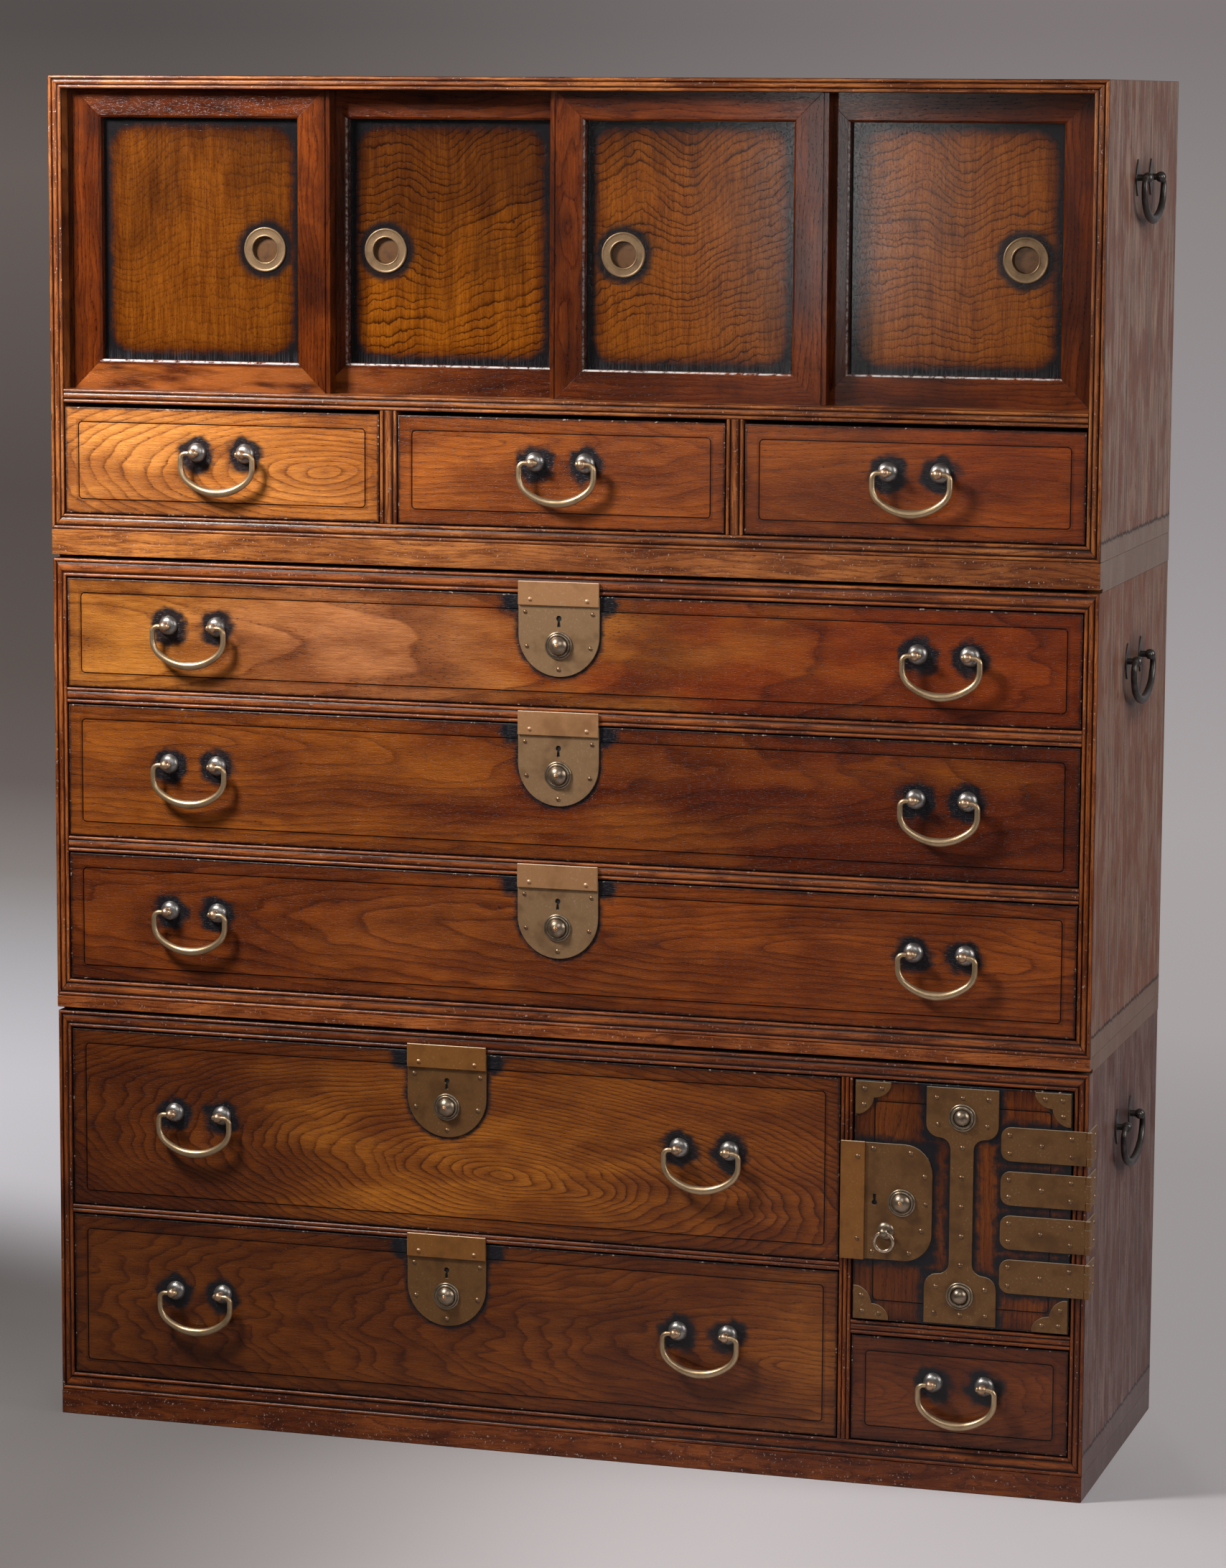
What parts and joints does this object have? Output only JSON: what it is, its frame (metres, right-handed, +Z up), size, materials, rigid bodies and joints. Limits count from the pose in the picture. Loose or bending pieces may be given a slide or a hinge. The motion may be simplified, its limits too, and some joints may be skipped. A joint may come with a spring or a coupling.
{
  "type": "stacking kitchen cabinet",
  "caption": "Japanese stacking kitchen chest: sliding panelled doors over small drawers, long drawers with iron locks, and wide drawers beside a hinged safe door.",
  "frame": {"origin": "centre of the footprint, on the floor", "axes": "+X to the right of someone who faces the front, +Y from the front to the back, +Z up"},
  "size_m": [1.248, 0.4279, 1.548],
  "materials": {
    "bail_brass": "pale worn brass",
    "black_iron": "black wrought iron",
    "brass": "dull worn brass",
    "carcass_wood": "aged dark red-brown lacquered wood",
    "copper_ring": "dark copper",
    "door_wood": "polished red-brown wood with strong grain",
    "drawer_wood": "polished honey-brown zelkova with strong grain",
    "lock_iron": "bronzed wrought iron",
    "pewter": "grey pewter",
    "seat_iron": "smooth black iron"
  },
  "bodies": {
    "cabinet": {"upper_carcass": "carcass_wood", "middle_carcass": "carcass_wood", "lower_carcass": "carcass_wood", "side_bail_posts": "black_iron", "safe_hinge_leaves": "lock_iron"},
    "door_1": {"sliding_door_1": "door_wood", "finger_pull_1": "brass"},
    "door_2": {"sliding_door_2": "door_wood", "finger_pull_2": "brass"},
    "door_3": {"sliding_door_3": "door_wood", "finger_pull_3": "brass"},
    "door_4": {"sliding_door_4": "door_wood", "finger_pull_4": "brass"},
    "upper_drawer_1": {"upper_drawer_1": "drawer_wood", "upper_drawer_1_fittings": "seat_iron"},
    "upper_drawer_1_bail": {"upper_drawer_1_bail": "bail_brass"},
    "upper_drawer_2": {"upper_drawer_2": "drawer_wood", "upper_drawer_2_fittings": "seat_iron"},
    "upper_drawer_2_bail": {"upper_drawer_2_bail": "bail_brass"},
    "upper_drawer_3": {"upper_drawer_3": "drawer_wood", "upper_drawer_3_fittings": "seat_iron"},
    "upper_drawer_3_bail": {"upper_drawer_3_bail": "bail_brass"},
    "middle_drawer_3": {"middle_drawer_3": "drawer_wood", "middle_drawer_3_fittings": "lock_iron"},
    "middle_drawer_3_button": {"middle_drawer_3_lock_button": "pewter"},
    "middle_drawer_3_bail_left": {"middle_drawer_3_bail_left": "bail_brass"},
    "middle_drawer_3_bail_right": {"middle_drawer_3_bail_right": "bail_brass"},
    "middle_drawer_2": {"middle_drawer_2": "drawer_wood", "middle_drawer_2_fittings": "lock_iron"},
    "middle_drawer_2_button": {"middle_drawer_2_lock_button": "pewter"},
    "middle_drawer_2_bail_left": {"middle_drawer_2_bail_left": "bail_brass"},
    "middle_drawer_2_bail_right": {"middle_drawer_2_bail_right": "bail_brass"},
    "middle_drawer_1": {"middle_drawer_1": "drawer_wood", "middle_drawer_1_fittings": "lock_iron"},
    "middle_drawer_1_button": {"middle_drawer_1_lock_button": "pewter"},
    "middle_drawer_1_bail_left": {"middle_drawer_1_bail_left": "bail_brass"},
    "middle_drawer_1_bail_right": {"middle_drawer_1_bail_right": "bail_brass"},
    "lower_drawer_2": {"lower_drawer_2": "drawer_wood", "lower_drawer_2_fittings": "lock_iron"},
    "lower_drawer_2_button": {"lower_drawer_2_lock_button": "pewter"},
    "lower_drawer_2_bail_left": {"lower_drawer_2_bail_left": "bail_brass"},
    "lower_drawer_2_bail_right": {"lower_drawer_2_bail_right": "bail_brass"},
    "lower_drawer_1": {"lower_drawer_1": "drawer_wood", "lower_drawer_1_fittings": "lock_iron"},
    "lower_drawer_1_button": {"lower_drawer_1_lock_button": "pewter"},
    "lower_drawer_1_bail_left": {"lower_drawer_1_bail_left": "bail_brass"},
    "lower_drawer_1_bail_right": {"lower_drawer_1_bail_right": "bail_brass"},
    "corner_drawer": {"corner_drawer": "drawer_wood", "corner_drawer_fittings": "seat_iron"},
    "corner_drawer_bail": {"corner_drawer_bail": "bail_brass"},
    "safe_door": {"safe_door": "drawer_wood", "safe_door_fittings": "lock_iron"},
    "safe_lock_button": {"safe_door_lock_button": "pewter"},
    "safe_ring": {"safe_door_ring": "copper_ring"},
    "upper_side_bail_left": {"upper_side_bail_left": "black_iron"},
    "upper_side_bail_right": {"upper_side_bail_right": "black_iron"},
    "middle_side_bail_left": {"middle_side_bail_left": "black_iron"},
    "middle_side_bail_right": {"middle_side_bail_right": "black_iron"},
    "lower_side_bail_left": {"lower_side_bail_left": "black_iron"},
    "lower_side_bail_right": {"lower_side_bail_right": "black_iron"}
  },
  "joints": [
    {"name": "door_1_slide", "type": "slide", "parent": "cabinet", "child": "door_1", "axis": [1, 0, 0], "range_m": [0, 0.256]},
    {"name": "door_2_slide", "type": "slide", "parent": "cabinet", "child": "door_2", "axis": [1, 0, 0], "range_m": [-0.288, 0.261]},
    {"name": "door_3_slide", "type": "slide", "parent": "cabinet", "child": "door_3", "axis": [1, 0, 0], "range_m": [-0.256, 0.293]},
    {"name": "door_4_slide", "type": "slide", "parent": "cabinet", "child": "door_4", "axis": [1, 0, 0], "range_m": [-0.261, 0]},
    {"name": "upper_drawer_1_slide", "type": "slide", "parent": "cabinet", "child": "upper_drawer_1", "axis": [0, -1, 0], "range_m": [0, 0.33]},
    {"name": "upper_drawer_1_bail_swing", "type": "hinge", "parent": "upper_drawer_1", "child": "upper_drawer_1_bail", "pos_m": [-0.4, -0.2175, 1.12725], "axis": [-1, 0, 0], "range_deg": [-8, 160]},
    {"name": "upper_drawer_2_slide", "type": "slide", "parent": "cabinet", "child": "upper_drawer_2", "axis": [0, -1, 0], "range_m": [0, 0.33]},
    {"name": "upper_drawer_2_bail_swing", "type": "hinge", "parent": "upper_drawer_2", "child": "upper_drawer_2_bail", "pos_m": [0, -0.2175, 1.12725], "axis": [-1, 0, 0], "range_deg": [-8, 160]},
    {"name": "upper_drawer_3_slide", "type": "slide", "parent": "cabinet", "child": "upper_drawer_3", "axis": [0, -1, 0], "range_m": [0, 0.33]},
    {"name": "upper_drawer_3_bail_swing", "type": "hinge", "parent": "upper_drawer_3", "child": "upper_drawer_3_bail", "pos_m": [0.4, -0.2175, 1.12725], "axis": [-1, 0, 0], "range_deg": [-8, 160]},
    {"name": "middle_drawer_3_slide", "type": "slide", "parent": "cabinet", "child": "middle_drawer_3", "axis": [0, -1, 0], "range_m": [0, 0.33]},
    {"name": "middle_drawer_3_lock_push", "type": "slide", "parent": "middle_drawer_3", "child": "middle_drawer_3_button", "axis": [0, 1, 0], "range_m": [0, 0.004], "stiffness_N_per_m": 300, "springref_m": -0.002},
    {"name": "middle_drawer_3_bail_left_swing", "type": "hinge", "parent": "middle_drawer_3", "child": "middle_drawer_3_bail_left", "pos_m": [-0.436, -0.2169, 0.60225], "axis": [-1, 0, 0], "range_deg": [-8, 160]},
    {"name": "middle_drawer_3_bail_right_swing", "type": "hinge", "parent": "middle_drawer_3", "child": "middle_drawer_3_bail_right", "pos_m": [0.436, -0.2169, 0.60225], "axis": [-1, 0, 0], "range_deg": [-8, 160]},
    {"name": "middle_drawer_2_slide", "type": "slide", "parent": "cabinet", "child": "middle_drawer_2", "axis": [0, -1, 0], "range_m": [0, 0.33]},
    {"name": "middle_drawer_2_lock_push", "type": "slide", "parent": "middle_drawer_2", "child": "middle_drawer_2_button", "axis": [0, 1, 0], "range_m": [0, 0.004], "stiffness_N_per_m": 300, "springref_m": -0.002},
    {"name": "middle_drawer_2_bail_left_swing", "type": "hinge", "parent": "middle_drawer_2", "child": "middle_drawer_2_bail_left", "pos_m": [-0.436, -0.2169, 0.77175], "axis": [-1, 0, 0], "range_deg": [-8, 160]},
    {"name": "middle_drawer_2_bail_right_swing", "type": "hinge", "parent": "middle_drawer_2", "child": "middle_drawer_2_bail_right", "pos_m": [0.436, -0.2169, 0.77175], "axis": [-1, 0, 0], "range_deg": [-8, 160]},
    {"name": "middle_drawer_1_slide", "type": "slide", "parent": "cabinet", "child": "middle_drawer_1", "axis": [0, -1, 0], "range_m": [0, 0.33]},
    {"name": "middle_drawer_1_lock_push", "type": "slide", "parent": "middle_drawer_1", "child": "middle_drawer_1_button", "axis": [0, 1, 0], "range_m": [0, 0.004], "stiffness_N_per_m": 300, "springref_m": -0.002},
    {"name": "middle_drawer_1_bail_left_swing", "type": "hinge", "parent": "middle_drawer_1", "child": "middle_drawer_1_bail_left", "pos_m": [-0.436, -0.2169, 0.93025], "axis": [-1, 0, 0], "range_deg": [-8, 160]},
    {"name": "middle_drawer_1_bail_right_swing", "type": "hinge", "parent": "middle_drawer_1", "child": "middle_drawer_1_bail_right", "pos_m": [0.436, -0.2169, 0.93025], "axis": [-1, 0, 0], "range_deg": [-8, 160]},
    {"name": "lower_drawer_2_slide", "type": "slide", "parent": "cabinet", "child": "lower_drawer_2", "axis": [0, -1, 0], "range_m": [0, 0.33]},
    {"name": "lower_drawer_2_lock_push", "type": "slide", "parent": "lower_drawer_2", "child": "lower_drawer_2_button", "axis": [0, 1, 0], "range_m": [0, 0.004], "stiffness_N_per_m": 300, "springref_m": -0.002},
    {"name": "lower_drawer_2_bail_left_swing", "type": "hinge", "parent": "lower_drawer_2", "child": "lower_drawer_2_bail_left", "pos_m": [-0.4325, -0.2163, 0.15675], "axis": [-1, 0, 0], "range_deg": [-8, 160]},
    {"name": "lower_drawer_2_bail_right_swing", "type": "hinge", "parent": "lower_drawer_2", "child": "lower_drawer_2_bail_right", "pos_m": [0.1715, -0.2163, 0.15675], "axis": [-1, 0, 0], "range_deg": [-8, 160]},
    {"name": "lower_drawer_1_slide", "type": "slide", "parent": "cabinet", "child": "lower_drawer_1", "axis": [0, -1, 0], "range_m": [0, 0.33]},
    {"name": "lower_drawer_1_lock_push", "type": "slide", "parent": "lower_drawer_1", "child": "lower_drawer_1_button", "axis": [0, 1, 0], "range_m": [0, 0.004], "stiffness_N_per_m": 300, "springref_m": -0.002},
    {"name": "lower_drawer_1_bail_left_swing", "type": "hinge", "parent": "lower_drawer_1", "child": "lower_drawer_1_bail_left", "pos_m": [-0.4325, -0.2163, 0.36675], "axis": [-1, 0, 0], "range_deg": [-8, 160]},
    {"name": "lower_drawer_1_bail_right_swing", "type": "hinge", "parent": "lower_drawer_1", "child": "lower_drawer_1_bail_right", "pos_m": [0.1715, -0.2163, 0.36675], "axis": [-1, 0, 0], "range_deg": [-8, 160]},
    {"name": "corner_drawer_slide", "type": "slide", "parent": "cabinet", "child": "corner_drawer", "axis": [0, -1, 0], "range_m": [0, 0.33]},
    {"name": "corner_drawer_bail_swing", "type": "hinge", "parent": "corner_drawer", "child": "corner_drawer_bail", "pos_m": [0.4653, -0.2163, 0.12175], "axis": [-1, 0, 0], "range_deg": [-8, 160]},
    {"name": "safe_door_hinge", "type": "hinge", "parent": "cabinet", "child": "safe_door", "pos_m": [0.6072, -0.2062, 0.323], "axis": [0, 0, 1], "range_deg": [0, 180]},
    {"name": "safe_lock_push", "type": "slide", "parent": "safe_door", "child": "safe_lock_button", "axis": [0, 1, 0], "range_m": [0, 0.004], "stiffness_N_per_m": 300, "springref_m": -0.002},
    {"name": "safe_ring_swing", "type": "hinge", "parent": "safe_door", "child": "safe_ring", "pos_m": [0.3808, -0.214, 0.29], "axis": [-1, 0, 0], "range_deg": [-10, 95]},
    {"name": "upper_side_bail_left_swing", "type": "hinge", "parent": "cabinet", "child": "upper_side_bail_left", "pos_m": [-0.618, 0, 1.443], "axis": [0, 1, 0], "range_deg": [-6, 160]},
    {"name": "upper_side_bail_right_swing", "type": "hinge", "parent": "cabinet", "child": "upper_side_bail_right", "pos_m": [0.618, 0, 1.443], "axis": [0, -1, 0], "range_deg": [-6, 160]},
    {"name": "middle_side_bail_left_swing", "type": "hinge", "parent": "cabinet", "child": "middle_side_bail_left", "pos_m": [-0.6174, 0, 0.913], "axis": [0, 1, 0], "range_deg": [-6, 160]},
    {"name": "middle_side_bail_right_swing", "type": "hinge", "parent": "cabinet", "child": "middle_side_bail_right", "pos_m": [0.6174, 0, 0.913], "axis": [0, -1, 0], "range_deg": [-6, 160]},
    {"name": "lower_side_bail_left_swing", "type": "hinge", "parent": "cabinet", "child": "lower_side_bail_left", "pos_m": [-0.6168, 0, 0.3885], "axis": [0, 1, 0], "range_deg": [-6, 160]},
    {"name": "lower_side_bail_right_swing", "type": "hinge", "parent": "cabinet", "child": "lower_side_bail_right", "pos_m": [0.6168, 0, 0.3885], "axis": [0, -1, 0], "range_deg": [-6, 160]}
  ]
}
